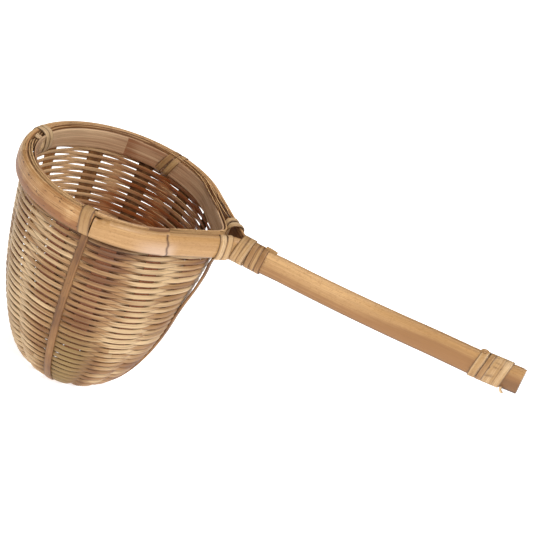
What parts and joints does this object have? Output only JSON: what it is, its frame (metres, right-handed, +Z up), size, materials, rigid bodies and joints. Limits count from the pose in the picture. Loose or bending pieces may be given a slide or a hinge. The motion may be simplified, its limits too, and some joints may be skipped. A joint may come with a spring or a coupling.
{
  "type": "tea strainer",
  "caption": "Deep round tea strainer woven from split bamboo, with a lashed bamboo rim that runs on into a long straight handle and two crossing ribs under the base.",
  "frame": {"origin": "on the resting surface under the basket's middle, where the lower of the two crossing base ribs rests", "axes": "+Z up, out of the basket's mouth; +X along the handle; +Y to the back, the side of the hoop's branch"},
  "size_m": [0.2068, 0.083, 0.0932],
  "materials": {
    "bamboo_skin": "smooth satin bamboo skin, fine lengthwise grain",
    "hoop": "satin bamboo lath, brown streaks and pores",
    "band": "split bamboo, fine grain",
    "stake": "flat split bamboo, matte",
    "weft": "thin split bamboo strips, matte",
    "rib": "split bamboo, satin",
    "cane": "flat cane strip, satin"
  },
  "bodies": {
    "root": {"stake_strip_1": "stake", "stake_strip_2": "stake", "stake_strip_3": "stake", "stake_strip_4": "stake", "stake_strip_5": "stake", "stake_strip_6": "stake", "weft_a_1": "weft", "weft_a_2": "weft", "weft_a_3": "weft", "weft_a_4": "weft", "weft_a_5": "weft", "weft_a_6": "weft", "weft_a_7": "weft", "weft_a_8": "weft", "weft_b_1": "weft", "weft_b_2": "weft", "weft_b_3": "weft", "weft_b_4": "weft", "weft_b_5": "weft", "weft_b_6": "weft", "weft_b_7": "weft", "weft_b_8": "weft", "base_rib_lower": "rib", "base_rib_upper": "rib", "inner_band": "band", "rim_filler_1": "hoop", "rim_filler_2": "hoop", "rim_filler_3": "hoop", "handle_bar": "bamboo_skin", "outer_hoop": "hoop", "front_binding": "cane", "left_binding": "cane", "back_binding": "cane", "front_branch_binding": "cane", "back_branch_binding": "cane", "neck_lashing_wide": "cane", "neck_lashing": "cane", "end_lashing": "cane"}
  },
  "joints": []
}
